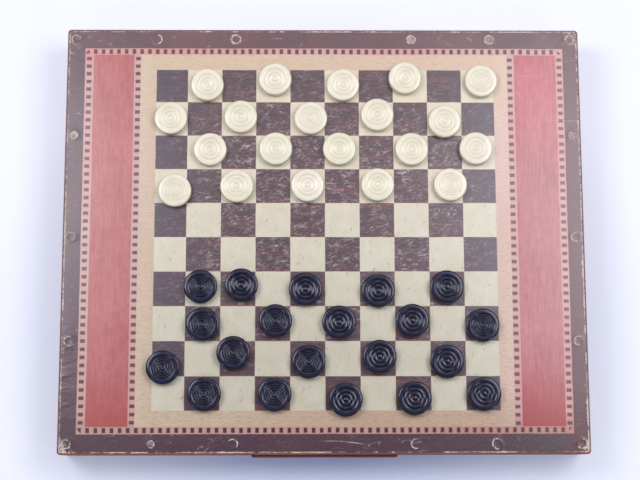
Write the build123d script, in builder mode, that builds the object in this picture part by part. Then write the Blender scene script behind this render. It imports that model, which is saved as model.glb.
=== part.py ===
from build123d import *
import os

# Travel draughts set: a flat wooden case with a ten by ten board on its lid, a drawer in its front
# and forty ring-faced men. Millimetres, +Z up, the player's side with the drawer faces -Y.
# The origin is the centre of the case's underside.

# Case
case_length = 376.0
case_depth = 310.0
bottom_thickness = 3.0
rail_height = 31.7
rail_thickness = 14.0
top_thickness = 3.0
corner_radius = 2.5
edge_round = 0.9
print_thickness = 0.3
print_inset = 1.2

# Board, as printed: the border from the case's front and back to the field, which sets the
# square's side, and how far the field lies off the case's centre
squares_across = 10
field_border = 30.0
field_shift_x = 0.7
field_shift_y = -0.1

# Countersunk screws that hold both panels to the rails
screw_head_radius = 3.5
screw_radius = 1.6
screw_length = 15.0
screw_point = 2.5
driver_slot_length = 3.8
driver_slot_width = 0.9
driver_slot_depth = 1.2
screw_sink = 0.2
screw_gap = 0.05
screw_side_inset = 6.3
screw_end_inset = 7.5
long_side_screws = (64.5, 122.2)
short_side_screws = (0.0, 75.0)

# Drawer and what it runs between
drawer_width = 103.0
drawer_length = 160.0
drawer_proud = 1.8
drawer_front_thickness = 11.0
drawer_front_round = 0.9
drawer_rebate = 5.0
drawer_side_thickness = 5.0
drawer_back_thickness = 5.0
drawer_bottom_thickness = 3.0
drawer_side_drop = 1.0
divider_thickness = 3.0
divider_drop = 5.0
drawer_side_gap = 0.5
drawer_head_gap = 0.5
drawer_foot_gap = 0.3
drawer_stop_gap = 0.3
guide_thickness = 8.0
stop_thickness = 8.0
stop_height = 14.0
notch_radius = 12.0
notch_height = 8.0
notch_depth = 6.0

# Brads that pin the drawer's sides to its front and back
nail_radius = 0.7
nail_head_radius = 1.3
nail_head_thickness = 0.6
nail_length = 13.0
nail_gap = 0.03
nail_end_inset = 9.0

# Men: a raised crest carries each face, which is cut into rings, coarse on one side and fine on
# the other. The man's radius is a share of the square, and the rings' places and widths are
# shares of the radius.
man_share = 0.48
man_height = 6.0
crest_share = 0.77
crest_width = 0.7
crest_slope = 0.2
face_recess = 0.15
shoulder_drop = 1.1
shoulder_inset = 0.3
coarse_rings = (0.17, 0.39, 0.62)
coarse_ring_share = 0.18
coarse_ring_depth = 0.8
fine_rings = (0.20, 0.37, 0.48, 0.60)
fine_ring_share = 0.085
fine_ring_depth = 0.5
dimple_radius = 0.9
dimple_depth = 0.5

# Where each man stands: column, row, nudge to the right, nudge to the back, and the face shown.
# Column 1 is the leftmost and row 1 the one furthest back.
light_men = [
    (2, 1, 1.9, -0.7, "coarse"), (4, 1, 1.3, 3.6, "coarse"), (6, 1, 0.7, -0.6, "coarse"),
    (8, 1, -3.8, 4.7, "coarse"), (10, 1, 1.8, 2.5, "fine"), (1, 2, 0.7, -0.6, "coarse"),
    (3, 2, 1.4, 0.4, "coarse"), (5, 2, 2.3, -0.6, "fine"), (7, 2, 0.7, 2.0, "coarse"),
    (9, 2, -0.4, -2.9, "coarse"), (2, 3, 4.4, 1.1, "coarse"), (4, 3, 1.9, 1.6, "coarse"),
    (6, 3, -2.0, 1.6, "coarse"), (8, 3, 0.4, 1.4, "coarse"), (10, 3, -2.9, 2.0, "coarse"),
    (1, 4, 4.2, -4.1, "fine"), (3, 4, -1.1, -0.9, "coarse"), (5, 4, -0.1, -0.4, "coarse"),
    (7, 4, 0.5, 0.1, "coarse"), (9, 4, 3.1, 0.1, "fine"),
]
dark_men = [
    (2, 7, -1.5, 1.2, "fine"), (3, 7, 2.6, 2.2, "coarse"), (5, 7, -1.6, -0.8, "coarse"),
    (7, 7, 0.3, -2.0, "coarse"), (9, 7, -0.7, 0.7, "coarse"), (2, 8, 0.4, -0.9, "fine"),
    (4, 8, 2.0, 1.5, "fine"), (6, 8, -2.8, 0.5, "coarse"), (8, 8, -0.6, 1.6, "coarse"),
    (10, 8, -0.6, -1.6, "fine"), (1, 9, -2.4, -6.4, "fine"), (3, 9, -2.7, 3.9, "fine"),
    (5, 9, 0.7, -2.4, "fine"), (7, 9, 0.9, 1.0, "coarse"), (9, 9, -1.4, -2.4, "coarse"),
    (2, 10, 1.9, -0.2, "fine"), (4, 10, 1.6, -0.4, "fine"), (6, 10, 1.8, -4.2, "coarse"),
    (8, 10, 0.4, -3.2, "coarse"), (10, 10, -0.5, -0.2, "coarse"),
]

# Levels and outlines that several pieces share
rail_foot = bottom_thickness
rail_top = rail_foot + rail_height
panel_top = rail_top + top_thickness
board_top = panel_top + print_thickness
half_length = case_length / 2
half_depth = case_depth / 2
inner_half_length = half_length - rail_thickness
inner_half_depth = half_depth - rail_thickness
bay_half_width = drawer_width / 2 + drawer_side_gap
square = (case_depth - 2 * field_border) / squares_across
man_radius = man_share * square

screw_points = [
    (x, y)
    for y in (-half_depth + screw_end_inset, half_depth - screw_end_inset)
    for place in (*long_side_screws, half_length - screw_side_inset)
    for x in (-place, place)
]
screw_points += [
    (x, y)
    for x in (-half_length + screw_side_inset, half_length - screw_side_inset)
    for place in short_side_screws
    for y in sorted({-place, place})
]

os.makedirs("parts", exist_ok=True)

# Board print: the paper sheet glued on the top panel
with BuildPart() as board_print:
    with BuildSketch(Plane.XY.offset(panel_top)):
        RectangleRounded(
            case_length - 2 * print_inset,
            case_depth - 2 * print_inset,
            corner_radius - print_inset,
        )
    extrude(amount=print_thickness)
board_print.part.label = "board_print"
export_step(board_print.part, "parts/board_print.step")

# Top panel: thin board with an eased upper edge, countersunk under the print
with BuildPart() as top_panel:
    with BuildSketch(Plane.XY.offset(rail_top)):
        RectangleRounded(case_length, case_depth, corner_radius)
    extrude(amount=top_thickness)
    fillet(top_panel.faces().sort_by(Axis.Z)[-1].outer_wire().edges(), radius=edge_round)
    with Locations(*[Plane(origin=(x, y, panel_top)) for x, y in screw_points]):
        CounterSinkHole(
            radius=screw_radius + screw_gap,
            counter_sink_radius=screw_head_radius + screw_sink + screw_gap,
            depth=top_thickness,
            counter_sink_angle=90,
        )
top_panel.part.label = "top_panel"
export_step(top_panel.part, "parts/top_panel.step")

# Bottom panel: the same board turned over
with BuildPart() as bottom_panel:
    with BuildSketch(Plane.XY):
        RectangleRounded(case_length, case_depth, corner_radius)
    extrude(amount=bottom_thickness)
    fillet(bottom_panel.faces().sort_by(Axis.Z)[0].outer_wire().edges(), radius=edge_round)
    with Locations(*[Plane(origin=(x, y, 0), z_dir=(0, 0, -1)) for x, y in screw_points]):
        CounterSinkHole(
            radius=screw_radius + screw_gap,
            counter_sink_radius=screw_head_radius + screw_sink + screw_gap,
            depth=bottom_thickness,
            counter_sink_angle=90,
        )
bottom_panel.part.label = "bottom_panel"
export_step(bottom_panel.part, "parts/bottom_panel.step")

# Rails: left, right, front and back limits of each. The two front rails leave the drawer's bay.
rails = {
    "front_rail_left": (-half_length, -bay_half_width, -half_depth, -inner_half_depth),
    "front_rail_right": (bay_half_width, half_length, -half_depth, -inner_half_depth),
    "back_rail": (-half_length, half_length, inner_half_depth, half_depth),
    "left_rail": (-half_length, -inner_half_length, -inner_half_depth, inner_half_depth),
    "right_rail": (inner_half_length, half_length, -inner_half_depth, inner_half_depth),
}
top_pilot = screw_length + screw_sink - top_thickness + screw_gap
bottom_pilot = screw_length + screw_sink - bottom_thickness + screw_gap
for name, (left, right, front, back) in rails.items():
    held = [(x, y) for x, y in screw_points if left < x < right and front < y < back]
    with BuildPart() as rail:
        with BuildSketch(Plane.XY.offset(rail_foot)):
            RectangleRounded(case_length, case_depth, corner_radius)
            with Locations(((left + right) / 2, (front + back) / 2)):
                Rectangle(right - left, back - front, mode=Mode.INTERSECT)
        extrude(amount=rail_height)
        with Locations(*[Plane(origin=(x, y, rail_top)) for x, y in held]):
            Hole(radius=screw_radius + screw_gap, depth=top_pilot)
        with Locations(*[Plane(origin=(x, y, rail_foot), z_dir=(0, 0, -1)) for x, y in held]):
            Hole(radius=screw_radius + screw_gap, depth=bottom_pilot)
    rail.part.label = name
    export_step(rail.part, f"parts/{name}.step")

# One screw, head up, the top of its head at the origin, with a crossed slot for the driver
with BuildPart() as screw:
    with BuildSketch(Plane.XZ):
        with BuildLine():
            Polyline(
                (0, 0),
                (screw_head_radius, 0),
                (screw_radius, screw_radius - screw_head_radius),
                (screw_radius, screw_point - screw_length),
                (0, -screw_length),
                close=True,
            )
        make_face()
    revolve(axis=Axis.Z)
    with BuildSketch(Plane.XY):
        Rectangle(driver_slot_length, driver_slot_width)
        Rectangle(driver_slot_width, driver_slot_length)
    extrude(amount=-driver_slot_depth, mode=Mode.SUBTRACT)

# Top screws, all in one node
with BuildPart() as top_screws:
    with Locations(*[Plane(origin=(x, y, panel_top - screw_sink)) for x, y in screw_points]):
        add(screw.part)
top_screws.part.label = "top_screws"
export_step(top_screws.part, "parts/top_screws.step")

# Bottom screws, all in one node
with BuildPart() as bottom_screws:
    with Locations(*[Plane(origin=(x, y, screw_sink), z_dir=(0, 0, -1)) for x, y in screw_points]):
        add(screw.part)
bottom_screws.part.label = "bottom_screws"
export_step(bottom_screws.part, "parts/bottom_screws.step")

# Drawer guides: two battens from front to back, which also carry the top panel
for name, side in {"drawer_guide_left": -1, "drawer_guide_right": 1}.items():
    with BuildPart() as guide:
        with BuildSketch(Plane.XY.offset(rail_foot)):
            with Locations((side * (bay_half_width + guide_thickness / 2), 0)):
                Rectangle(guide_thickness, 2 * inner_half_depth)
        extrude(amount=rail_height)
    guide.part.label = name
    export_step(guide.part, f"parts/{name}.step")

# Drawer levels: its face, its back, its foot and its tops
drawer_face = -half_depth - drawer_proud
drawer_back_face = drawer_face + drawer_length
front_inner_face = drawer_face + drawer_front_thickness
drawer_foot = bottom_thickness + drawer_foot_gap
drawer_front_top = rail_top - drawer_head_gap
drawer_floor = drawer_foot + drawer_bottom_thickness
drawer_side_top = drawer_front_top - drawer_side_drop
back_inner_face = drawer_back_face - drawer_back_thickness

# Drawer stop: a low block glued between the guides behind the drawer
with BuildPart() as drawer_stop:
    with BuildSketch(Plane.XY.offset(rail_foot)):
        with Locations((0, drawer_back_face + drawer_stop_gap + stop_thickness / 2)):
            Rectangle(2 * bay_half_width, stop_thickness)
    extrude(amount=stop_height)
drawer_stop.part.label = "drawer_stop"
export_step(drawer_stop.part, "parts/drawer_stop.step")

# Brad seats: planes on the drawer sides' outer faces, facing outwards
side_height = drawer_side_top - drawer_floor
nail_rows = (
    front_inner_face - drawer_rebate / 2,
    drawer_back_face - drawer_back_thickness / 2,
)
nail_levels = (drawer_floor + nail_end_inset, drawer_side_top - nail_end_inset)
nail_seats = {
    side: [
        Plane(origin=(side * drawer_width / 2, y, z), z_dir=(side, 0, 0))
        for y in nail_rows
        for z in nail_levels
    ]
    for side in (-1, 1)
}
nail_hole_radius = nail_radius + nail_gap
nail_hole_depth = nail_length + nail_gap

# Drawer front: rebated ends for the sides, an eased face and a finger notch at its foot
with BuildPart() as drawer_front:
    with BuildSketch(Plane.XY.offset(drawer_foot)):
        with Locations((0, drawer_face + drawer_front_thickness / 2)):
            Rectangle(drawer_width, drawer_front_thickness)
        for side in (-1, 1):
            with Locations((side * drawer_width / 2, front_inner_face)):
                Rectangle(2 * drawer_side_thickness, 2 * drawer_rebate, mode=Mode.SUBTRACT)
    extrude(amount=drawer_front_top - drawer_foot)
    fillet(drawer_front.faces().sort_by(Axis.Y)[0].outer_wire().edges(), radius=drawer_front_round)
    with BuildSketch(Plane(origin=(0, drawer_face, drawer_foot), z_dir=(0, -1, 0))):
        with Locations((0, notch_height - notch_radius)):
            Circle(notch_radius)
    extrude(amount=-notch_depth, mode=Mode.SUBTRACT)
    with Locations(*nail_seats[-1], *nail_seats[1]):
        Hole(radius=nail_hole_radius, depth=nail_hole_depth)
drawer_front.part.label = "drawer_front"
export_step(drawer_front.part, "parts/drawer_front.step")

# Drawer bottom: a thin board under the sides and the back
with BuildPart() as drawer_bottom:
    with BuildSketch(Plane.XY.offset(drawer_foot)):
        with Locations((0, (front_inner_face + drawer_back_face) / 2)):
            Rectangle(drawer_width, drawer_back_face - front_inner_face)
    extrude(amount=drawer_bottom_thickness)
drawer_bottom.part.label = "drawer_bottom"
export_step(drawer_bottom.part, "parts/drawer_bottom.step")

# Drawer sides: they reach forward into the front's rebates
side_front_end = front_inner_face - drawer_rebate
for name, side in {"drawer_left_side": -1, "drawer_right_side": 1}.items():
    with BuildPart() as drawer_side:
        with BuildSketch(Plane.XY.offset(drawer_floor)):
            middle_x = side * (drawer_width - drawer_side_thickness) / 2
            with Locations((middle_x, (side_front_end + drawer_back_face) / 2)):
                Rectangle(drawer_side_thickness, drawer_back_face - side_front_end)
        extrude(amount=side_height)
        with Locations(*nail_seats[side]):
            CounterBoreHole(
                radius=nail_hole_radius,
                counter_bore_radius=nail_head_radius + nail_gap,
                counter_bore_depth=nail_head_thickness,
                depth=nail_hole_depth,
            )
    drawer_side.part.label = name
    export_step(drawer_side.part, f"parts/{name}.step")

# Drawer back: between the sides
drawer_inner_width = drawer_width - 2 * drawer_side_thickness
with BuildPart() as drawer_back:
    with BuildSketch(Plane.XY.offset(drawer_floor)):
        with Locations((0, drawer_back_face - drawer_back_thickness / 2)):
            Rectangle(drawer_inner_width, drawer_back_thickness)
    extrude(amount=side_height)
    with Locations(*nail_seats[-1], *nail_seats[1]):
        Hole(radius=nail_hole_radius, depth=nail_hole_depth)
drawer_back.part.label = "drawer_back"
export_step(drawer_back.part, "parts/drawer_back.step")

# Drawer divider: keeps the light men from the dark
with BuildPart() as drawer_divider:
    with BuildSketch(Plane.XY.offset(drawer_floor)):
        with Locations((0, (front_inner_face + back_inner_face) / 2)):
            Rectangle(divider_thickness, back_inner_face - front_inner_face)
    extrude(amount=side_height - divider_drop)
drawer_divider.part.label = "drawer_divider"
export_step(drawer_divider.part, "parts/drawer_divider.step")

# One brad, the top of its head at the origin
with BuildPart() as nail:
    with BuildSketch(Plane.XY):
        Circle(nail_head_radius)
    extrude(amount=-nail_head_thickness)
    with BuildSketch(Plane.XY):
        Circle(nail_radius)
    extrude(amount=-nail_length)

# Drawer nails, all in one node
with BuildPart() as drawer_nails:
    with Locations(*nail_seats[-1], *nail_seats[1]):
        add(nail.part)
drawer_nails.part.label = "drawer_nails"
export_step(drawer_nails.part, "parts/drawer_nails.step")

# One man with its coarse face up, its foot at the origin. A face is drawn from the axis outwards,
# as radius and depth below the crest.
crest_outer = man_radius * crest_share + crest_width / 2
crest_inner = crest_outer - crest_width
rim = [
    (crest_inner - crest_slope, face_recess),
    (crest_inner, 0),
    (crest_outer, 0),
    (man_radius - shoulder_inset, shoulder_drop),
    (man_radius, shoulder_drop + shoulder_inset),
]


def rings(places, width_share, depth):
    width = man_radius * width_share
    cut = []
    for radius in [man_radius * place for place in places]:
        cut.append((radius - width / 2, face_recess))
        cut.append((radius, face_recess + depth))
        cut.append((radius + width / 2, face_recess))
    return cut


coarse_centre = [(0, face_recess)]
fine_centre = [(0, face_recess + dimple_depth), (dimple_radius, face_recess)]
upper_face = coarse_centre + rings(coarse_rings, coarse_ring_share, coarse_ring_depth) + rim
lower_face = fine_centre + rings(fine_rings, fine_ring_share, fine_ring_depth) + rim
with BuildPart() as man:
    with BuildSketch(Plane.XZ):
        with BuildLine():
            Polyline(*lower_face, *[(r, man_height - z) for r, z in reversed(upper_face)], close=True)
        make_face()
    revolve(axis=Axis.Z)

# Forty men on the board, each its own piece, turned over where its fine face shows
for colour, men in {"light": light_men, "dark": dark_men}.items():
    for number, (column, row, nudge_x, nudge_y, face) in enumerate(men, 1):
        x = field_shift_x + (column - (squares_across + 1) / 2) * square + nudge_x
        y = field_shift_y + ((squares_across + 1) / 2 - row) * square + nudge_y
        if face == "coarse":
            stand = Plane(origin=(x, y, board_top))
        else:
            stand = Plane(origin=(x, y, board_top + man_height), z_dir=(0, 0, -1))
        with BuildPart() as placed_man:
            with Locations(stand):
                add(man.part)
        name = f"{colour}_man_{number:02d}"
        placed_man.part.label = name
        export_step(placed_man.part, f"parts/{name}.step")
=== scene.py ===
import math

import bmesh
import bpy
from mathutils import Matrix, Vector


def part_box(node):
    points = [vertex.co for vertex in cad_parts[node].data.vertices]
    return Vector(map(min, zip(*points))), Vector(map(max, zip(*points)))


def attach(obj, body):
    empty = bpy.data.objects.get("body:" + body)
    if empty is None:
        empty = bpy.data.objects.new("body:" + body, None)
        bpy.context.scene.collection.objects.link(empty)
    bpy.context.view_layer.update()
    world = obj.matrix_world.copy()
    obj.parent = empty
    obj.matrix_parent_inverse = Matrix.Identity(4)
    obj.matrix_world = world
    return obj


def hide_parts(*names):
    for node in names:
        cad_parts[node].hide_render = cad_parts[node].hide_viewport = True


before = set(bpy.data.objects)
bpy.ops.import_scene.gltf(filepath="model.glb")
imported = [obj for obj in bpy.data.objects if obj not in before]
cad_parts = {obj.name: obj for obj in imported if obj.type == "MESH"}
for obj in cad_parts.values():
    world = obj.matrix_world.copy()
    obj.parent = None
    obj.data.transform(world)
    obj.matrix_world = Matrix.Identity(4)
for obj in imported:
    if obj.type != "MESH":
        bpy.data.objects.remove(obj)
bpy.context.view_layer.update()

# Travel draughts set, dressed in the order in which it is put together: case, drawer, lid,
# printed board, men. Metres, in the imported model's frame: +Z up, the drawer faces -Y.



def added(name, data):
    """A new object of this mesh, lamp or camera, put in the scene."""
    obj = bpy.data.objects.new(name, data)
    bpy.context.scene.collection.objects.link(obj)
    return obj


# Camera: it looks down on the board from the player's side, a little left of the middle.
# Its right-hand direction is given too, because the board's sides lie level in the picture.
view_from = Vector((-0.01634, -0.16444, 1.02945))
looks_at = Vector((-0.00291, -0.00226, 0.038))
picture_right = Vector((0.99991, -0.00218, 0.01319))
camera = added("camera", bpy.data.cameras.new("camera"))
camera.data.sensor_width = 36.0
camera.data.lens = 78.5
camera.data.clip_start = 0.01
camera.data.clip_end = 50.0
camera_back = (view_from - looks_at).normalized()
camera_right = (picture_right - camera_back * picture_right.dot(camera_back)).normalized()
camera_up = camera_back.cross(camera_right)
camera.matrix_world = Matrix.Translation(view_from) @ Matrix(
    (camera_right, camera_up, camera_back)
).transposed().to_4x4()
bpy.context.scene.camera = camera
bpy.context.scene.view_settings.view_transform = "Standard"


class Shade:
    """One socket of a material's nodes, so that shader maths reads as plain sums."""

    def __init__(self, tree, socket):
        self.tree = tree
        self.socket = socket

    def node(self, kind, settings=None, inputs=None, output=0):
        """Any node: its settings are made first, then its sockets are given values or links."""
        made = self.tree.nodes.new(kind)
        for name, value in (settings or {}).items():
            setattr(made, name, value)
        for key, value in (inputs or {}).items():
            if isinstance(value, Shade):
                self.tree.links.new(value.socket, made.inputs[key])
            else:
                made.inputs[key].default_value = value
        return Shade(self.tree, made.outputs[output])

    def math(self, operation, *values, clamp=False):
        settings = {"operation": operation, "use_clamp": clamp}
        return self.node("ShaderNodeMath", settings, dict(enumerate(values)))

    def __add__(self, other):
        return self.math("ADD", self, other)

    def __sub__(self, other):
        return self.math("SUBTRACT", self, other)

    def __rsub__(self, other):
        return self.math("SUBTRACT", other, self)

    def __mul__(self, other):
        return self.math("MULTIPLY", self, other)

    def __truediv__(self, other):
        return self.math("DIVIDE", self, other)

    def __mod__(self, other):
        return self.math("FLOORED_MODULO", self, other)

    def __abs__(self):
        return self.math("ABSOLUTE", self)

    __radd__ = __add__
    __rmul__ = __mul__

    def floor(self):
        return self.math("FLOOR", self)

    def least(self, other):
        return self.math("MINIMUM", self, other)

    def most(self, other):
        return self.math("MAXIMUM", self, other)

    def over(self, edge, soft):
        """1 where this is over the edge and 0 where it is under, with a soft step between."""
        return self.math("MULTIPLY_ADD", self, 1 / soft, 0.5 - edge / soft, clamp=True)

    def under(self, edge, soft):
        """1 where this is under the edge and 0 where it is over."""
        return self.math("MULTIPLY_ADD", self, -1 / soft, 0.5 + edge / soft, clamp=True)

    def within(self, low, high, soft):
        return self.over(low, soft) * self.under(high, soft)

    def vector(self, operation, other, output=0):
        settings = {"operation": operation}
        return self.node("ShaderNodeVectorMath", settings, {0: self, 1: other}, output)

    def length(self):
        return self.vector("LENGTH", (0.0, 0.0, 0.0), output=1)

    def parts(self):
        return [self.node("ShaderNodeSeparateXYZ", None, {0: self}, n) for n in range(3)]

    def joined(self, second, third):
        return self.node("ShaderNodeCombineXYZ", None, {0: self, 1: second, 2: third})

    def noise(self, spot, detail=2.0, seed=0.0, rough=0.5, warp=0.0, turn=0.0):
        """Cloudy values round 0.5 on these coordinates, in blotches of this size along x, y, z."""
        values = {"Vector": self, "Location": (seed * 57.0,) * 3, "Scale": spot}
        values["Rotation"] = (0.0, 0.0, math.radians(turn))
        sized = self.node("ShaderNodeMapping", {"vector_type": "TEXTURE"}, values)
        values = {"Vector": sized, "Scale": 1.0, "Detail": detail, "Roughness": rough}
        return self.node("ShaderNodeTexNoise", None, {**values, "Distortion": warp})

    def between(self, first, second):
        """The first colour where this is 0, the second where it is 1."""
        settings = {"data_type": "RGBA"}
        return self.node("ShaderNodeMix", settings, {0: self, 6: first, 7: second}, output=2)

    def coat(self, colour, amount):
        """This colour with another laid over it."""
        settings = {"data_type": "RGBA", "blend_type": "MIX"}
        return self.node("ShaderNodeMix", settings, {0: amount, 6: self, 7: colour}, output=2)

    def bump(self, height):
        """The surface with this relief, whose full height is given in metres."""
        values = {"Height": self, "Distance": height, "Strength": 1.0}
        return self.node("ShaderNodeBump", None, values)


def paint(red, green, blue):
    """A colour read off a paint card, 0 to 255, undone from the sRGB curve for the shaders."""
    linear = [
        value / 255 / 12.92 if value < 10.3 else ((value / 255 + 0.055) / 1.055) ** 2.4
        for value in (red, green, blue)
    ]
    return (*linear, 1.0)


def new_finish(name, roughness=0.5):
    """A material, its shader, and the place on the object in millimetres."""
    material = bpy.data.materials.new(name)
    material.use_nodes = True
    tree = material.node_tree
    shader = tree.nodes["Principled BSDF"]
    shader.inputs["Roughness"].default_value = roughness
    object_place = Shade(tree, tree.nodes.new("ShaderNodeTexCoord").outputs["Object"])
    return material, shader, object_place.vector("MULTIPLY", (1000.0, 1000.0, 1000.0))


def wire(shader, **values):
    """Links values to the shader's sockets, whose names are written with _ for a space."""
    for name, value in values.items():
        socket = shader.inputs[name.replace("_", " ")]
        value.tree.links.new(value.socket, socket)


def wear(obj, material):
    """Gives a piece this one material."""
    obj.data.materials.clear()
    obj.data.materials.append(material)


def made_mesh(name, shape):
    """A mesh of what was modelled in this bmesh, which is freed."""
    mesh = bpy.data.meshes.new(name)
    shape.to_mesh(mesh)
    shape.free()
    return mesh


# Table: a sheet of pale bluish card that the set lies on, with a faint tooth. What the camera
# sees of it is lifted towards white, the more so away from the set, whose shadow it keeps.
card, card_shader, card_place = new_finish("pale_card", 0.8)
card_tooth = card_place.noise((3.0, 3.0, 3.0), detail=4.0)
card_cloud = card_place.noise((400.0, 400.0, 400.0), detail=1.0, seed=3.0)
card_seen = card_place.node("ShaderNodeLightPath")
card_away = card_place.vector("ADD", (0.0, 60.0, 0.0)).length()
# This glow is painted light: faint and bluish near the set, where it tints the set's shade blue,
# and near white far off.
card_lift = card_away.over(150.0, 200.0).between((0.0, 0.04, 0.17, 1.0), (0.37, 0.37, 0.45, 1.0))
card_lift = card_lift.coat((0.90, 0.92, 1.0, 1.0), card_away.over(700.0, 600.0))
wire(
    card_shader,
    Base_Color=card_cloud.between(paint(198, 201, 213), paint(202, 205, 216)),
    Emission_Color=card_seen.between((0.0, 0.0, 0.0, 1.0), card_lift),
    Normal=card_tooth.bump(0.00005),
)
card_shader.inputs["Emission Strength"].default_value = 1.0
table_half = 4.0
table_shape = bmesh.new()
bmesh.ops.create_grid(table_shape, x_segments=1, y_segments=1, size=table_half)
table = added("table", made_mesh("table", table_shape))
wear(table, card)

# Light: two bright soft lamps up at the left and the right, a dim one between them towards the
# back, and two small ones low at the player's side. All shine at the middle of the board. Each
# has its place, size, brightness and tint.
lit_point = Vector((0.0, 0.0, 0.04))
lamps = {
    "left": ((-0.56, 0.23, 0.98), (0.44, 0.49), 8.1, (1.0, 0.985, 1.0)),
    "right": ((0.54, 0.20, 0.98), (0.60, 0.50), 6.5, (1.0, 0.985, 1.0)),
    "back": ((0.02, 0.54, 0.98), (0.40, 0.70), 1.2, (1.0, 0.985, 0.98)),
    "near_left": ((-0.62, -0.58, 0.80), (0.22, 0.20), 6.0, (0.90, 0.95, 1.0)),
    "near_right": ((0.62, -0.58, 0.80), (0.22, 0.20), 6.0, (0.90, 0.95, 1.0)),
}
for lamp_name, (stand, size, brightness, tint) in lamps.items():
    lamp_data = bpy.data.lights.new(lamp_name, "AREA")
    lamp_data.shape = "RECTANGLE"
    lamp_data.size, lamp_data.size_y = size
    lamp_data.energy = brightness * math.pi * size[0] * size[1]
    lamp_data.color = tint
    lamp = added(lamp_name, lamp_data)
    lamp.location = stand
    lamp.rotation_euler = (lit_point - Vector(stand)).to_track_quat("-Z", "Y").to_euler()
    lamp.visible_camera = False

# Sky: a faint even fill. Where it is seen, itself or in a gloss, it is white near the horizon
# and dim overhead, where the ceiling of the room would be.
sky = bpy.data.worlds.new("sky")
sky.use_nodes = True
bpy.context.scene.world = sky
sky_tree = sky.node_tree
fill_light = sky_tree.nodes["Background"]
fill_light.inputs["Color"].default_value = (0.78, 0.88, 1.0, 1.0)
fill_light.inputs["Strength"].default_value = 0.155
direction = Shade(sky_tree, sky_tree.nodes.new("ShaderNodeTexCoord").outputs["Generated"])
overhead = direction.parts()[2].over(0.42, 0.4)
ceiling = overhead.between((0.97, 0.98, 1.0, 1.0), (0.20, 0.21, 0.27, 1.0))
white_light = direction.node("ShaderNodeBackground", None, {"Color": ceiling})
ray = sky_tree.nodes.new("ShaderNodeLightPath")
seen = Shade(sky_tree, ray.outputs["Is Camera Ray"])
seen = seen.most(Shade(sky_tree, ray.outputs["Is Glossy Ray"]))
seen = seen.most(Shade(sky_tree, ray.outputs["Is Transmission Ray"]))
dim_light = Shade(sky_tree, fill_light.outputs[0])
sky_light = seen.node("ShaderNodeMixShader", None, {0: seen, 1: dim_light, 2: white_light})
sky_tree.links.new(sky_light.socket, sky_tree.nodes["World Output"].inputs[0])


# Bottom panel: thin plywood, bare below, its edges stained with the case. Its grain runs along
# the case. The same wood maths serves every wooden piece after it.
case_half_length = 188.0
case_half_depth = 155.0


def wood(
    name,
    pale,
    dark,
    pore,
    roughness=0.55,
    along="x",
    streak=3.5,
    edge_stain_and_shade=None,
    edge_tone_wide=0.4,
    edge_tone_front=True,
):
    """Wood with its grain along x or y: wide streaks, fine pores, a little relief. An edge tone, a
    pale and a dark one, goes on its outer edges where they meet the case's: a real stain on the
    bottom panel, painted shade on the lid's sides and back."""
    material, shader, place = new_finish(name, roughness)
    x, y, z = place.parts()
    grain = place if along == "x" else y.joined(x, z)
    streaks = grain.noise((120.0, streak, streak), detail=4.0, rough=0.6, warp=0.3)
    clouds = grain.noise((90.0, 30.0, 30.0), detail=2.0, seed=5.0)
    pores = grain.noise((9.0, 0.3, 0.3), detail=2.0, seed=9.0).over(0.6, 0.12)
    colour = (streaks * 1.5 + clouds * 0.5 - 0.5).between(pale, dark).coat(pore, pores * 0.45)
    if edge_stain_and_shade:
        edge = abs(x).over(case_half_length - edge_tone_wide, 0.4)
        edge = edge.most(y.over(case_half_depth - edge_tone_wide, 0.4))
        if edge_tone_front:
            edge = edge.most(y.under(edge_tone_wide - case_half_depth, 0.4))
        colour = colour.coat(streaks.between(*edge_stain_and_shade), edge)
    wire(
        shader,
        Base_Color=colour,
        Roughness=streaks * 0.2 + pores * 0.15 + (roughness - 0.1),
        Normal=(streaks * 0.5 - pores).bump(0.00006),
    )
    return material


stain_pale = paint(150, 78, 60)
stain_dark = paint(104, 48, 42)
ply_tones = (paint(205, 172, 128), paint(176, 138, 96), paint(126, 92, 60))
ply_streak = 9.0
panel_ply = wood("plywood", *ply_tones, streak=ply_streak, edge_stain_and_shade=(stain_pale, stain_dark))
wear(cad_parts["bottom_panel"], panel_ply)

# Rails: solid wood stained red-brown before the panels go on, with the grain along each one.
# The front and back rails run through, so their ends show at the case's left and right.
rail_grain = {
    "front_rail_left": "x",
    "front_rail_right": "x",
    "back_rail": "x",
    "left_rail": "y",
    "right_rail": "y",
}
rail_finish = {
    along: wood(
        "stained_rail_" + along,
        stain_pale,
        stain_dark,
        paint(58, 26, 26),
        roughness=0.42,
        along=along,
    )
    for along in "xy"
}
for rail_name, along in rail_grain.items():
    wear(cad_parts[rail_name], rail_finish[along])

# Screws and brads: zinc-plated steel. The screws go countersunk through both panels into the
# rails, the brads pin the drawer's sides to its front and back.
zinc, zinc_shader, zinc_place = new_finish("zinc_plate", 0.35)
zinc_cloud = zinc_place.noise((2.0, 2.0, 2.0), detail=3.0)
zinc_spots = zinc_place.noise((0.8, 0.8, 0.8), detail=2.0, seed=4.0).over(0.64, 0.1)
wire(
    zinc_shader,
    Base_Color=zinc_cloud.between(paint(190, 188, 180), paint(214, 211, 200)).coat(
        paint(110, 84, 66), zinc_spots * 0.6
    ),
    Roughness=zinc_cloud * 0.3 + zinc_spots * 0.3 + 0.18,
    Metallic=1.0 - zinc_spots * 0.7,
)
for fastening in ("top_screws", "bottom_screws", "drawer_nails"):
    wear(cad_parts[fastening], zinc)

# Inside of the case: two battens of bare, planed softwood from front to back, which guide the
# drawer and hold up the lid's middle, and a low block glued between them to stop the drawer.
softwood = {
    along: wood(
        "softwood_" + along,
        paint(226, 199, 152),
        paint(201, 165, 114),
        paint(156, 116, 72),
        roughness=0.6,
        along=along,
    )
    for along in "xy"
}
wear(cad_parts["drawer_guide_left"], softwood["y"])
wear(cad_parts["drawer_guide_right"], softwood["y"])
wear(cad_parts["drawer_stop"], softwood["x"])

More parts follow.
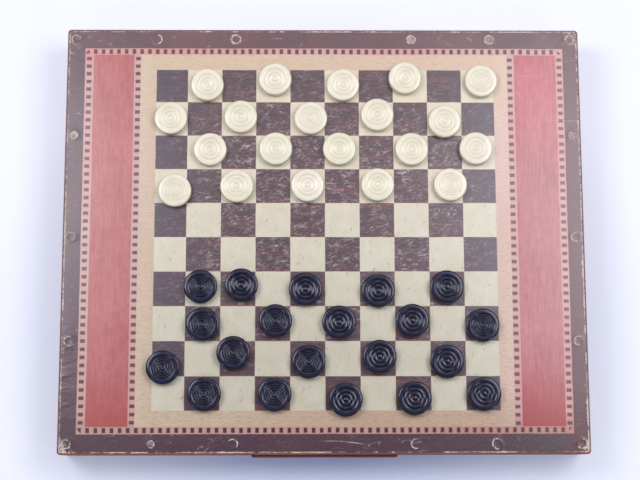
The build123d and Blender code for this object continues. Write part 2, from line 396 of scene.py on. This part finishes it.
# Drawer: softwood sides, back and divider, a thin plywood bottom, and a front of the same wood
# stained dark red. It stands 2 mm proud, so its upper edge shows past the lid.
drawer_red = wood(
    "drawer_red",
    paint(138, 58, 52),
    paint(98, 36, 38),
    paint(52, 20, 24),
    roughness=0.38,
)
wear(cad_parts["drawer_front"], drawer_red)
wear(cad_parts["drawer_left_side"], softwood["y"])
wear(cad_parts["drawer_right_side"], softwood["y"])
wear(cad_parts["drawer_divider"], softwood["y"])
wear(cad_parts["drawer_back"], softwood["x"])
drawer_ply = wood("drawer_plywood", *ply_tones, along="y", streak=ply_streak)
wear(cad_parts["drawer_bottom"], drawer_ply)

# Top panel: a thin board, screwed down on the rails under the print. Its edge is stained
# red-brown and rubbed through to orange here and there.
lid_edge = wood(
    "stained_lid_edge",
    paint(184, 106, 82),
    paint(124, 62, 52),
    paint(76, 36, 32),
    roughness=0.4,
    streak=6.0,
    # Painted shade: a duller greyish brown laid over the edge at the sides and back only, not the
    # front
    edge_stain_and_shade=(paint(146, 104, 98), paint(104, 70, 68)),
    edge_tone_wide=1.6,
    edge_tone_front=False,
)
wear(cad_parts["top_panel"], lid_edge)

# Board print: a varnished paper sheet glued over the top panel and its screws. The paper has
# risen in a low ring over each screw head. The sheet, its cells and its cut corners are in
# metres as the frame is, the screws and the rings in millimetres, smooth_below in radians.
sheet_low, sheet_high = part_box("board_print")
sheet_width = sheet_high.x - sheet_low.x
sheet_depth = sheet_high.y - sheet_low.y
sheet_cell = 0.0031
corner_cut = 0.0005
board_height = 38.0
near_screw = 7.0
ring_rise = 0.09
ring_radius = 3.2
ring_width = 0.7
smooth_below = 0.7
# Each screw: its place, then the worn ring over it by radius, width, the way that its arc
# faces, half the arc, and how far its middle is filled. Angles in degrees.
screws = [
    (-181.7, 147.5, 3.2, 0.5, 120, 110, 0.0),
    (-122.2, 147.5, 3.3, 0.7, 0, 80, 0.0),
    (-64.5, 147.5, 3.3, 1.1, 120, 165, 0.0),
    (64.5, 147.5, 3.0, 0.8, 0, 180, 0.45),
    (122.2, 147.5, 3.1, 0.9, 0, 180, 0.28),
    (181.7, 147.5, 3.3, 0.9, 40, 140, 0.2),
    (-181.7, -147.5, 3.0, 0.8, 220, 150, 0.0),
    (-122.2, -147.5, 2.3, 0.6, 0, 180, 0.3),
    (-64.5, -147.5, 3.3, 0.6, 50, 90, 0.0),
    (64.5, -147.5, 3.3, 0.6, 180, 110, 0.0),
    (122.2, -147.5, 3.7, 0.9, 180, 95, 0.0),
    (181.7, -147.5, 3.4, 1.0, 330, 110, 0.0),
    (-181.7, 75.0, 2.6, 0.8, 0, 180, 0.7),
    (-181.7, 0.0, 3.0, 0.3, 90, 50, 0.0),
    (-181.7, -75.0, 3.2, 0.5, 200, 130, 0.0),
    (181.7, 75.0, 2.6, 0.5, 0, 180, 0.4),
    (181.7, 0.0, 3.2, 0.6, 180, 120, 0.0),
    (181.7, -75.0, 3.2, 0.5, 170, 110, 0.0),
]
sheet_shape = bmesh.new()
bmesh.ops.create_grid(
    sheet_shape,
    x_segments=round(sheet_width / sheet_cell),
    y_segments=round(sheet_depth / sheet_cell),
    size=0.5,
    matrix=Matrix.Diagonal((sheet_width, sheet_depth, 1, 1)),
)


def from_screw(point):
    """How far a point of the sheet is from the nearest screw's middle, in millimetres."""
    return min(math.hypot(point.x * 1000 - x, point.y * 1000 - y) for x, y, *ring in screws)


near_edges = [
    edge
    for edge in sheet_shape.edges
    if all(from_screw(vertex.co) < near_screw for vertex in edge.verts)
]
bmesh.ops.subdivide_edges(sheet_shape, edges=near_edges, cuts=3, use_grid_fill=True)
many_sided = [face for face in sheet_shape.faces if len(face.verts) > 4]
bmesh.ops.triangulate(sheet_shape, faces=many_sided)
bmesh.ops.translate(
    sheet_shape, verts=sheet_shape.verts, vec=((sheet_low.x + sheet_high.x) / 2, 0, sheet_low.z)
)
for vertex in sheet_shape.verts:
    at_side = abs(vertex.co.x) > sheet_width / 2 - 0.0001
    at_end = abs(vertex.co.y) > sheet_depth / 2 - 0.0001
    if at_side and at_end:
        vertex.co.x -= math.copysign(corner_cut, vertex.co.x)
        vertex.co.y -= math.copysign(corner_cut, vertex.co.y)
under_faces = list(sheet_shape.faces)
raised = bmesh.ops.extrude_face_region(sheet_shape, geom=under_faces, use_keep_orig=True)
upper_points = [item for item in raised["geom"] if isinstance(item, bmesh.types.BMVert)]
for vertex in upper_points:
    off_ring = (from_screw(vertex.co) - ring_radius) / ring_width
    vertex.co.z = sheet_high.z + ring_rise * 0.001 * math.exp(-(off_ring**2))
bmesh.ops.recalc_face_normals(sheet_shape, faces=sheet_shape.faces)
for face in sheet_shape.faces:
    face.smooth = True
for edge in sheet_shape.edges:
    edge.smooth = edge.calc_face_angle(0.0) < smooth_below
sheet = added("printed_sheet", made_mesh("printed_sheet", sheet_shape))

# The print itself, from the outside in: a purplish brown edge, a peach band of dashes, a red
# panel at either side between two such bands, a sand border, and the field of ten by ten. Its
# edges are given in millimetres in the order left, right, front, back.
square_size = 24.98
field_middle = (0.69, -0.14)
field_edges = (-122.2, 124.6, -124.2, 124.1)
band_outer = (-174.8, 176.1, -140.6, 140.5)
band_inner = (-168.5, 170.7, -135.5, 135.7)
panel_inner = (-138.8, 140.0)
sand_edges = (-134.0, 134.8)
dash_wide = 3.6
dash_long = 2.6
dash_pitch_x = 5.682
dash_pitch_y = 5.766
dash_reach_x = 175.0
dash_reach_y = 134.9
mitre_reach = 311.5
ink_edge = 0.5
dash_edge = 0.6

print_finish, print_shader, print_place = new_finish("varnished_print", 0.4)
px, py = print_place.parts()[:2]
fibre = print_place.noise((0.8, 0.8, 0.8), detail=3.0, seed=2.0)
wobble = (print_place.noise((14.0, 14.0, 14.0), detail=1.0, seed=7.0) - 0.5) * 0.5
ix = px + wobble
iy = py - wobble


def box_mask(edges):
    """1 inside these left, right, front and back edges."""
    left, right, front, back = edges
    return ix.within(left, right, ink_edge) * iy.within(front, back, ink_edge)


def from_point(x, y):
    """The vector from this point of the board's top to each place."""
    return print_place.vector("SUBTRACT", (x, y, board_height))


def dashes(along, across, first, pitch, middle):
    """A row of short dashes that cross a band: its length runs along, its middle is given."""
    from_dash = abs((along - first + pitch / 2) % pitch - pitch / 2)
    row = abs(across - middle).under(dash_wide / 2, dash_edge)
    return from_dash.under(dash_long / 2, dash_edge) * row


# Outer edge of the print, mottled warm and cool, with faint pale wear along it, painted sheen
# at its back and over the left front ripples, and painted shade at its front
leather = print_place.noise((1.6, 1.6, 1.6), detail=4.0, seed=11.0)
leather_cloud = print_place.noise((40.0, 24.0, 24.0), detail=4.0, seed=12.0, rough=0.6)
edge_tone = leather * 1.3 + leather_cloud * 1.5 - 0.9
ink = edge_tone.between(paint(71, 38, 54), paint(94, 62, 77))
warm_cloud = print_place.noise((26.0, 34.0, 26.0), detail=2.0, seed=13.0).over(0.54, 0.2)
warm_cloud = warm_cloud * py.over(120.0, 60.0)
ink = ink.coat(paint(104, 58, 60), warm_cloud * 0.5)
# Painted sheen: a pale pinkish tone laid over the back band, most at either side of its middle.
band_back_painted_sheen = abs(abs(px) - 95.0).under(30.0, 40.0) * 0.07 + 0.05
ink = ink.coat(paint(196, 140, 130), py.over(130.0, 30.0) * band_back_painted_sheen)
# Painted shade: the band is darkened towards the front, more so at the right.
band_front_painted_shade = px.over(110.0, 60.0) * 0.5 + 0.42
ink = ink.coat(paint(58, 28, 42), py.under(-125.0, 40.0) * band_front_painted_shade)
ink = ink.coat(paint(88, 6, 28), px.over(172.0, 10.0) * 0.5)
faint_wear = print_place.noise((5.0, 0.9, 4.0), detail=3.0, seed=14.0, warp=0.6, turn=24.0)
wear_patches = print_place.noise((30.0, 30.0, 30.0), detail=2.0, seed=15.0).over(0.52, 0.16)
ink = ink.coat(paint(176, 158, 158), faint_wear.over(0.67, 0.12) * wear_patches * 0.32)
# Painted sheen: a pale tone over the rippled paper at the left front.
ripple_painted_sheen = px.under(-160.0, 10.0) * py.within(-132.0, -80.0, 20.0)
ink = ink.coat(paint(150, 128, 138), ripple_painted_sheen * 0.09)

# Peach bands
peach_cloud = print_place.noise((60.0, 60.0, 60.0), detail=2.0, seed=21.0)
peach_tone = peach_cloud * 2.6 - 0.85 + px * 0.0016
peach = peach_tone.between(paint(199, 163, 157), paint(206, 142, 141))
peach = peach.coat(paint(168, 112, 102), py.under(-130.0, 8.0) * 0.28)
peach = peach.coat(paint(176, 92, 86), py.under(-130.0, 8.0) * px.over(60.0, 120.0) * 0.35)
peach = peach.coat(paint(216, 112, 108), py.over(132.0, 8.0) * px.under(-60.0, 120.0) * 0.28)
ink = ink.coat(peach, box_mask(band_outer))

# Red panels: a mottled upright grain, with a painted sheen over the right one's middle
red_streaks = print_place.noise((1.6, 22.0, 5.0), detail=4.0, seed=31.0, rough=0.6)
red_mottle = print_place.noise((4.0, 6.0, 5.0), detail=4.0, seed=33.0, rough=0.6)
red_cloud = print_place.noise((26.0, 50.0, 30.0), detail=2.0, seed=32.0)
red_tone = red_streaks * 1.3 + red_mottle * 1.2 + red_cloud * 1.0 - 1.25
red = red_tone.between(paint(158, 73, 80), paint(195, 112, 119))
at_right = px.over(0.0, 100.0)
red = red.coat(paint(160, 46, 44), py.under(-112.0, 40.0) * (at_right * 0.24 + 0.6))
red = red.coat(paint(190, 94, 54), px.under(0.0, 100.0) * 0.15)
# Painted sheen: a pale pink tone over the right panel's middle.
red = red.coat(paint(206, 156, 168), at_right * py.within(-90.0, 60.0, 50.0) * 0.1)
red = red.coat(paint(236, 80, 86), at_right * py.over(70.0, 40.0) * 0.12)
left_panel = box_mask((band_inner[0], panel_inner[0], *band_inner[2:]))
right_panel = box_mask((panel_inner[1], band_inner[1], *band_inner[2:]))
ink = ink.coat(red, left_panel.most(right_panel))

# Sand border
sand_grain = print_place.noise((8.0, 1.1, 3.0), detail=4.0, seed=41.0)
sand_specks = print_place.noise((4.2, 0.5, 1.0), detail=2.0, seed=42.0).over(0.6, 0.16)
sand_cloud = print_place.noise((50.0, 50.0, 50.0), detail=2.0, seed=43.0)
sand_pink = sand_cloud * 1.2 + px * 0.0022 + py * 0.0016 - 0.1
sand = sand_pink.between(paint(195, 174, 146), paint(205, 168, 157))
sand = sand.coat(paint(219, 194, 173), (sand_grain * 2.4 - 0.8) * 0.55)
sand = sand.coat(paint(160, 128, 96), py.under(-118.0, 20.0) * px.over(-30.0, 120.0) * 0.36)
sand = sand.coat(paint(230, 213, 166), py.over(100.0, 60.0) * 0.2)
sand_sides = abs(px).over(126.0, 6.0)
# Painted sheen: a pale tone over the sand strips left and right of the field.
sand = sand.coat(paint(240, 214, 212), sand_sides * 0.1)
sand = sand.coat(paint(196, 140, 140), sand_sides * abs(py).under(30.0, 50.0) * 0.16)
sand = sand.coat(paint(132, 96, 72), sand_specks * (py.under(-60.0, 200.0) * 0.25 + 0.25))
ink = ink.coat(sand, box_mask((*sand_edges, *band_inner[2:])))

# Dashes of the six bands
rows_x = dashes(ix, iy, -2.59, dash_pitch_x, 138.1)
rows_x = rows_x.most(dashes(ix, iy, -2.04, dash_pitch_x, -138.0))
rows_x = rows_x * abs(ix).under(dash_reach_x, ink_edge)
rows_y = (
    dashes(iy, ix, 0.0, dash_pitch_y, -171.8)
    .most(dashes(iy, ix, -0.51, dash_pitch_y, 173.4))
    .most(dashes(iy, ix, 0.09, dash_pitch_y, -135.9))
    .most(dashes(iy, ix, -0.69, dash_pitch_y, 136.8))
)
rows_y = rows_y * abs(iy).under(dash_reach_y, ink_edge)
mitre = (abs(ix) + abs(iy)).under(mitre_reach, 0.8)
dash_ink = py.over(0.0, 200.0).between(paint(46, 2, 10), paint(90, 8, 18))
ink = ink.coat(dash_ink, rows_x * mitre * 0.96)
ink = ink.coat(paint(76, 16, 34), rows_y * 0.93)

# Field: the squares' columns and rows count from the left and from the back
column_place = (ix - field_middle[0]) / square_size + 5.0
row_place = (field_middle[1] - iy) / square_size + 5.0
column = column_place.floor()
row = row_place.floor()
dark_square = abs((column + row) % 2.0).under(0.5, 0.1)
nearest_x = abs((column_place + 0.5) % 1.0 - 0.5)
nearest_y = abs((row_place + 0.5) % 1.0 - 0.5)
to_line = nearest_x.least(nearest_y) * square_size

# Dark squares: fine streaks across, bluish in the outer columns and browner in the middle, a
# reddish band in some, and pale strokes where hands and men have rubbed the varnish
own_place = (ix + column * 37.0).joined(iy + row * 53.0, column * 11.0 + row * 17.0)
dark_streaks = own_place.noise((18.0, 0.9, 9.0), detail=4.0, seed=51.0)
blue_side = abs(column_place - 5.0).over(3.9, 1.2)
dark = (dark_streaks * 2.0 - 0.5).between(paint(60, 36, 46), paint(86, 58, 67))
dark = dark.coat(paint(66, 52, 74), blue_side * 0.65)
red_band = own_place.noise((90.0, 3.6, 9.0), detail=2.0, seed=52.0).over(0.61, 0.12)
dark = dark.coat(paint(126, 62, 60), red_band * (1 - blue_side * 0.7) * 0.48)


def strokes(spot, turn, seed, edge):
    """Short soft strokes of one direction."""
    return print_place.noise(spot, detail=2.0, seed=seed, warp=0.7, turn=turn).over(edge, 0.2)


rubbing = (
    strokes((5.5, 1.5, 4.0), 3.0, 53.0, 0.66)
    .most(strokes((4.5, 1.3, 4.0), 32.0, 54.0, 0.66))
    .most(strokes((4.0, 1.3, 4.0), -34.0, 57.0, 0.69))
)
rub_patches = print_place.noise((7.0, 6.0, 9.0), detail=3.0, seed=55.0).over(0.5, 0.2)
handled = abs(column_place - 5.2).under(4.0, 1.6) * abs(row_place - 4.7).under(3.7, 2.4)
rub_grain = print_place.noise((1.1, 0.6, 0.9), detail=2.0, seed=60.0).over(0.5, 0.5)
rubbed_strokes = rubbing * (rub_patches * 0.85 + 0.15) * (handled * 0.8 + 0.2)
rubbed_strokes = rubbed_strokes * (rub_grain * 0.8 + 0.3)
fine_rub = own_place.noise((4.0, 0.6, 4.0), detail=2.0, seed=56.0).over(0.58, 0.2)
haze = fine_rub * (rub_patches * 0.6 + 0.2) * (handled * 0.7 + 0.3)
dark = dark.coat(paint(160, 140, 142), haze * 0.3)
# Painted sheen: a pale tone over the dark squares of the middle rows towards the right.
right_painted_sheen = px.over(50.0, 160.0) * abs(py).under(60.0, 70.0)
dark = dark.coat(paint(150, 136, 146), right_painted_sheen * 0.1)
dark = dark.coat(paint(206, 196, 196), (rubbed_strokes * 1.05).least(1.0))
fringe = to_line.under(0.35, 0.5)
dark = dark.coat(paint(140, 84, 86), fringe * 0.5)
foot_red = (row_place % 1.0).over(0.955, 0.04) * fibre.over(0.45, 0.3)
dark = dark.coat(paint(132, 66, 62), foot_red * (1 - blue_side * 0.5) * 0.45)

# Light squares: cream, a faint upright grain, small grey nicks
light_grain = own_place.noise((0.9, 12.0, 9.0), detail=3.0, seed=61.0)
light_cloud = own_place.noise((9.0, 9.0, 9.0), detail=3.0, seed=62.0)
light_tone = light_grain * 0.7 + light_cloud * 1.6 - 0.65
light = light_tone.between(paint(219, 212, 196), paint(206, 198, 175))
nicks = own_place.noise((1.3, 3.2, 3.0), detail=3.0, seed=63.0, warp=0.8, turn=-25.0)
nicks = nicks.over(0.655, 0.1)
dents = own_place.noise((6.0, 6.0, 6.0), detail=2.0, seed=64.0).over(0.53, 0.12)
light = light.coat(paint(138, 134, 100), nicks * dents * 0.75)
light = light.coat(paint(245, 216, 180), py.over(50.0, 90.0) * 0.16)
# Painted shade: the light squares are darkened towards the front, more so in the middle.
light_front_painted_shade = abs(px).under(100.0, 60.0) * 0.1 + 0.12
light = light.coat(paint(150, 143, 126), py.under(-45.0, 70.0) * light_front_painted_shade)
ink = ink.coat(dark_square.between(light, dark), box_mask(field_edges))

# Rubbed places: the paper's pale core shows in a broken line along the sheet's edges, at its
# corners and in a broken ring over each screw head, each with its own open side and width.
paper_half_length = 186.8
paper_half_depth = 153.8
from_edge_x = paper_half_length - abs(px)
from_edge_y = paper_half_depth - abs(py)
from_edge = from_edge_x.least(from_edge_y)
rub_noise = print_place.noise((6.0, 6.0, 6.0), detail=4.0, seed=71.0, rough=0.7)
rub_fine = print_place.noise((1.2, 1.2, 1.2), detail=3.0, seed=72.0)
rub_long = print_place.noise((30.0, 30.0, 30.0), detail=2.0, seed=75.0)
edge_line = abs(from_edge - rub_fine * 0.9 - 0.1).under(0.26, 0.34)
edge_gaps = rub_long * 0.35 + rub_noise * 0.45 + rub_fine * 0.2
edge_line = edge_line * edge_gaps.over(0.49, 0.07) * 0.85
edge_rub = rub_noise * 0.6 + rub_long * 0.25 + rub_fine * 0.15 - from_edge * 0.08
edge_rub = (edge_rub + px.over(183.0, 4.0) * 0.03).over(0.52, 0.03)
corner_near = (from_edge_x + from_edge_y).under(9.0, 8.0)
worst_corners = abs(px + py).over(322.0, 16.0)
corner_rub = rub_noise * 0.7 + rub_fine * 0.3 + worst_corners * 0.055
corner_rub = corner_rub.over(0.57, 0.04) * corner_near
scuffs = abs(print_place.noise((24.0, 10.0, 9.0), detail=2.0, seed=73.0, warp=1.2) - 0.5)
scuff_patches = print_place.noise((12.0, 12.0, 12.0), seed=74.0).over(0.62, 0.1)
scuffs = scuffs.under(0.005, 0.008) * scuff_patches * (1 - box_mask(band_outer) * 0.85)
marks = px * 0.0
uneven = (rub_fine - 0.5) * 1.6
for screw_x, screw_y, radius, width, facing, half_arc, fill in screws:
    offset = from_point(screw_x, screw_y)
    away = offset.length()
    aim = (math.cos(math.radians(facing)), math.sin(math.radians(facing)), 0.0)
    turned = offset.vector("DOT_PRODUCT", aim, output=1) / (away + 0.01)
    arc = turned.over(math.cos(math.radians(half_arc)) - 0.02, 0.3)
    ring = (abs(away - radius) - uneven).under(width / 2, 0.7) * arc
    marks = marks.most(ring)
    if fill:
        marks = marks.most((away + uneven).under(radius, 0.9) * fill)
# A bowed scratch at the front edge and three straight ones, each with its middle and half length
bow_radius = 130.3
bow = abs(from_point(3.0, -275.8).length() - bow_radius)
bow = bow.under(0.25, 0.5) * px.within(-2.0, 26.0, 8.0)
marks = marks.most(bow * (px.over(12.0, 30.0) * 0.6 + 0.3))
for line_x, line_y, half_long in ((150.3, 120.0, 7.0), (176.0, 86.0, 11.0), (-34.0, 148.0, 4.0)):
    line = abs(py - line_y - wobble * 2).under(0.15, 0.5) * abs(px - line_x).under(half_long, 3.0)
    marks = marks.most(line * rub_fine.over(0.5, 0.2) * 0.9)
broken = (rub_noise * 0.5 + rub_fine * 0.5).over(0.46, 0.06)
marks = marks * (broken * 0.75 + 0.25)
rubbed_off = edge_rub.most(edge_line).most(corner_rub).most(marks).most(scuffs * 0.6)
core = rub_fine.between(paint(240, 232, 218), paint(196, 178, 162))
ink = ink.coat(core, rubbed_off * 0.85)

# The screw at the back right has worn through to a dark red middle
worn_screw = from_point(181.7, 147.5).length()
ink = ink.coat(paint(104, 36, 42), (worn_screw + uneven).under(1.9, 0.8) * 0.75)

# Relief: leathery varnish, the paper's tooth, ripples of damp paper at the left front edge
ripple = print_place.noise((15.0, 6.5, 9.0), detail=3.0, seed=16.0, warp=0.6)
ripple = ripple * px.under(-177.0, 14.0) * py.within(-125.0, -62.0, 20.0)
relief = leather * 0.5 + fibre * 0.25 + ripple * 11.0 - rubbed_off * 0.5 - rubbed_strokes * 0.3
print_shader.inputs["Specular IOR Level"].default_value = 0.8
wire(
    print_shader,
    Base_Color=ink,
    Roughness=fibre * 0.1 + rubbed_off * 0.3 + rubbed_strokes * 0.15 + 0.25,
    Normal=relief.bump(0.00004),
)
wear(sheet, print_finish)
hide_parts("board_print")
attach(sheet, "case")

# Men: turned-looking discs moulded in hard plastic, ivory and blue-black, loose on the board. The
# coarse face has two rings and a rim round a boss, the fine one four rings and a rim round a
# dimple. The waves are shares of the radius where a ridge or a valley is, the rest millimetres.
man_radius = 12.0
man_height = 6.0
coarse_waves = (0.0, 0.15, 0.28, 0.40, 0.52, 0.64, 0.765)
fine_waves = (0.10, 0.19, 0.28, 0.36, 0.435, 0.505, 0.575, 0.655, 0.765)
ridge_depth = 0.07
valley_depth = 0.42
wave_steps = 6
shoulder = (
    (9.45, 0.01),
    (10.0, 0.03),
    (10.5, 0.09),
    (10.95, 0.18),
    (11.35, 0.31),
    (11.65, 0.50),
    (11.87, 0.88),
    (12.0, 1.7),
)
man_steps = 72
man_top = board_height + man_height


def face_profile(waves, middle):
    """Radius and depth below the crest, from the middle outwards, of one face of a man."""
    line = list(middle)
    for number, (first, last) in enumerate(zip(waves, waves[1:])):
        rising = number % 2
        high = 0.0 if last == waves[-1] else ridge_depth
        start, stop = (valley_depth, high) if rising else (ridge_depth, valley_depth)
        for step in range(1, wave_steps + 1):
            turn = (1 - math.cos(math.pi * step / wave_steps)) / 2
            radius = man_radius * (first + (last - first) * step / wave_steps)
            line.append((radius, start + (stop - start) * turn))
    return line + list(shoulder)


def turned_man(name, upper, lower):
    """A mesh: the outline of a man, upper face first, spun about its axis. Its foot is at z 0."""
    outline = [(radius, man_height - depth) for radius, depth in upper]
    outline += [(radius, depth) for radius, depth in reversed(lower)]
    lathe = bmesh.new()
    points = [lathe.verts.new((radius * 0.001, 0, z * 0.001)) for radius, z in outline]
    edges = [lathe.edges.new(pair) for pair in zip(points, points[1:])]
    bmesh.ops.spin(
        lathe,
        geom=points + edges,
        axis=(0, 0, 1),
        cent=(0, 0, 0),
        angle=2 * math.pi,
        steps=man_steps,
        use_merge=True,
    )
    bmesh.ops.remove_doubles(lathe, verts=lathe.verts, dist=0.000005)
    bmesh.ops.recalc_face_normals(lathe, faces=lathe.faces)
    for face in lathe.faces:
        face.smooth = True
    return made_mesh(name, lathe)


coarse_face = face_profile(coarse_waves, [(0.0, 0.07)])
fine_face = face_profile(fine_waves, [(0.0, 0.5), (0.3, 0.45), (0.75, 0.17), (1.2, 0.07)])
man_meshes = {
    "coarse": turned_man("man_coarse_up", coarse_face, fine_face),
    "fine": turned_man("man_fine_up", fine_face, coarse_face),
}
fine_up = {"light": (5, 8, 16, 20), "dark": (1, 6, 7, 10, 11, 12, 13, 16, 17)}


def plastic(name, plain, cloudy, groove_shade_and_tint, groove_from, gloss, shine):
    """Cloudy moulded plastic, its grooves below groove_from under the man's top painted darker:
    painted shade, with a yellowish tint on the ivory.
    """
    material, shader, place = new_finish(name, gloss)
    shader.inputs["Specular IOR Level"].default_value = shine
    height = place.parts()[2]
    cloud = place.noise((34.0, 34.0, 34.0), detail=1.0, seed=81.0)
    peel = place.noise((3.6, 3.6, 3.6), detail=1.0, seed=82.0)
    dust = place.noise((5.0, 5.0, 5.0), detail=4.0, seed=83.0)
    # Painted shade: below groove_from the grooves take the darker groove colour.
    sunk = (man_top - height).over(groove_from, 0.24) * height.over(man_top - 0.8, 0.2)
    wire(
        shader,
        Base_Color=(cloud * 2.4 - 0.7).between(plain, cloudy).coat(groove_shade_and_tint, sunk),
        Roughness=dust * 0.12 + (gloss - 0.06),
        Normal=peel.bump(0.000003),
    )
    return material


man_finish = {
    "light": plastic(
        "ivory_plastic",
        paint(240, 230, 217),
        paint(230, 225, 203),
        paint(220, 211, 184),
        groove_from=0.36,
        gloss=0.21,
        shine=0.5,
    ),
    "dark": plastic(
        "blue_black_plastic",
        paint(41, 40, 64),
        paint(35, 34, 55),
        paint(9, 9, 20),
        groove_from=0.20,
        gloss=0.17,
        shine=0.42,
    ),
}
ivory = man_finish["light"].node_tree.nodes["Principled BSDF"]
ivory.inputs["Subsurface Weight"].default_value = 0.35
ivory.inputs["Subsurface Radius"].default_value = (1.0, 0.9, 0.7)
ivory.inputs["Subsurface Scale"].default_value = 0.0025
blue_black = man_finish["dark"].node_tree.nodes["Principled BSDF"]
blue_black.inputs["Specular Tint"].default_value = (0.84, 0.84, 1.0, 1.0)
for tone in ("light", "dark"):
    for number in range(1, 21):
        node = f"{tone}_man_{number:02d}"
        low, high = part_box(node)
        stands_at = ((low.x + high.x) / 2, (low.y + high.y) / 2, low.z)
        face_up = "fine" if number in fine_up[tone] else "coarse"
        man_mesh = man_meshes[face_up].copy()
        man_mesh.transform(Matrix.Translation(stands_at))
        man = added(node + "_turned", man_mesh)
        wear(man, man_finish[tone])
        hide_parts(node)
        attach(man, node + "_body")
